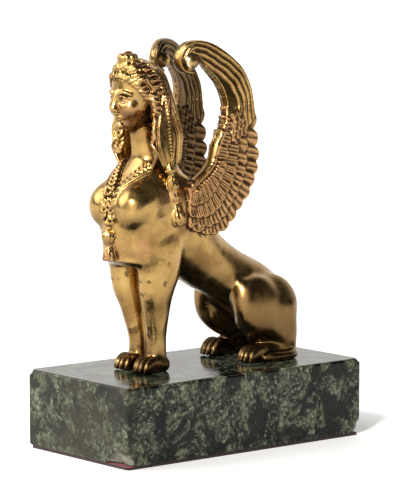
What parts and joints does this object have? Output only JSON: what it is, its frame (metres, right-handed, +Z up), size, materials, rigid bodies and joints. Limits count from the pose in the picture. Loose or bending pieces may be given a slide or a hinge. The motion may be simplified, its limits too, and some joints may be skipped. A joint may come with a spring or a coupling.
{
  "type": "winged sphinx statue on a plinth",
  "caption": "Small gilt bronze winged sphinx with a woman's head and bust, seated on its haunches on a rectangular green marble plinth",
  "frame": {"origin": "centre of the underside of the felt, which the part stands on", "axes": "+Z up, the sphinx faces -Y, its left side is at +X"},
  "size_m": [0.061, 0.115, 0.1548],
  "materials": {
    "gilt_bronze": "polished gilding, browner in the hollows",
    "green_marble": "polished stone, mottled green, grey and black",
    "red_felt": "matt wool felt"
  },
  "bodies": {
    "root": {"sphinx": "gilt_bronze", "plinth": "green_marble", "felt_foot": "red_felt"}
  },
  "joints": []
}
